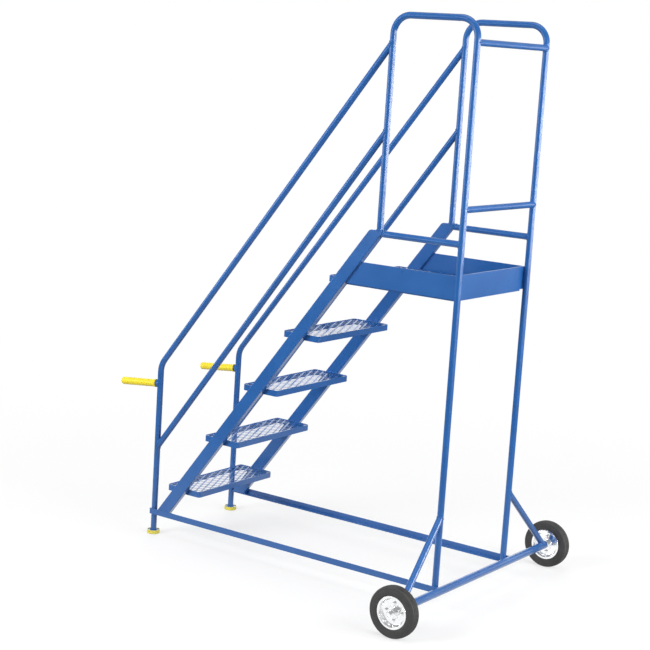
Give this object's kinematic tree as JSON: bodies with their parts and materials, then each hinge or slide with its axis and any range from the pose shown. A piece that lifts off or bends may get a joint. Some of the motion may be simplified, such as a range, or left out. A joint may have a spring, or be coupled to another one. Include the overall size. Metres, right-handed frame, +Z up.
{
  "type": "mobile steps",
  "caption": "Welded tube steps with open mesh treads, a railed platform, push handles, rubber feet and rear wheels, wheeled about like a barrow and stood on its feet to climb.",
  "frame": {"origin": "on the floor, under the middle of the whole outline", "axes": "+Z up; +Y the way the climber faces, from the feet to the wheels; +X to the climber's right"},
  "size_m": [1.2686, 1.7472, 2.2442],
  "materials": {
    "blue_paint": "semi-gloss sprayed blue paint on welded steel",
    "zinc_steel": "bright zinc plate on pressed and turned steel",
    "tyre_rubber": "dull solid black rubber, scuffed grey on the tread",
    "yellow_sleeve": "smooth yellow moulded sleeve",
    "yellow_rubber": "matt yellow moulded rubber",
    "bush_plastic": "plain natural nylon"
  },
  "bodies": {
    "frame": {"axle_plug_left": "blue_paint", "axle_plug_right": "blue_paint", "axle_tube": "blue_paint", "base_rail_left": "blue_paint", "base_rail_right": "blue_paint", "brace_left": "blue_paint", "brace_right": "blue_paint", "cross_bar_middle": "blue_paint", "cross_bar_top": "blue_paint", "foot_pad_left": "yellow_rubber", "foot_pad_right": "yellow_rubber", "foot_plate_left": "blue_paint", "foot_plate_right": "blue_paint", "grip_left": "yellow_sleeve", "grip_right": "yellow_sleeve", "handle_stub_left": "blue_paint", "handle_stub_right": "blue_paint", "handrail_left": "blue_paint", "handrail_right": "blue_paint", "hoop_left": "blue_paint", "hoop_right": "blue_paint", "low_rail_left": "blue_paint", "low_rail_right": "blue_paint", "mid_rail_left": "blue_paint", "mid_rail_right": "blue_paint", "platform_frame": "blue_paint", "platform_mesh": "blue_paint", "spindle_left": "zinc_steel", "spindle_right": "zinc_steel", "split_pin_left": "zinc_steel", "split_pin_right": "zinc_steel", "stringer_left": "blue_paint", "stringer_right": "blue_paint", "toe_board_left": "blue_paint", "toe_board_rear": "blue_paint", "toe_board_right": "blue_paint", "tread_frame_1": "blue_paint", "tread_frame_2": "blue_paint", "tread_frame_3": "blue_paint", "tread_frame_4": "blue_paint", "tread_mesh_1": "blue_paint", "tread_mesh_2": "blue_paint", "tread_mesh_3": "blue_paint", "tread_mesh_4": "blue_paint", "washer_left": "zinc_steel", "washer_right": "zinc_steel"},
    "wheel_left": {"tyre_left": "tyre_rubber", "rim_outer_left": "zinc_steel", "rim_inner_left": "zinc_steel", "hub_left": "zinc_steel", "hub_bushes_left": "bush_plastic", "wheel_bolts_left": "zinc_steel"},
    "wheel_right": {"tyre_right": "tyre_rubber", "rim_outer_right": "zinc_steel", "rim_inner_right": "zinc_steel", "hub_right": "zinc_steel", "hub_bushes_right": "bush_plastic", "wheel_bolts_right": "zinc_steel"}
  },
  "joints": [
    {"name": "wheel_spin_left", "type": "hinge", "parent": "frame", "child": "wheel_left", "pos_m": [-0.594, 0.77564, 0.098], "axis": [1, 0, 0], "continuous": true},
    {"name": "wheel_spin_right", "type": "hinge", "parent": "frame", "child": "wheel_right", "pos_m": [0.594, 0.77564, 0.098], "axis": [1, 0, 0], "continuous": true}
  ]
}
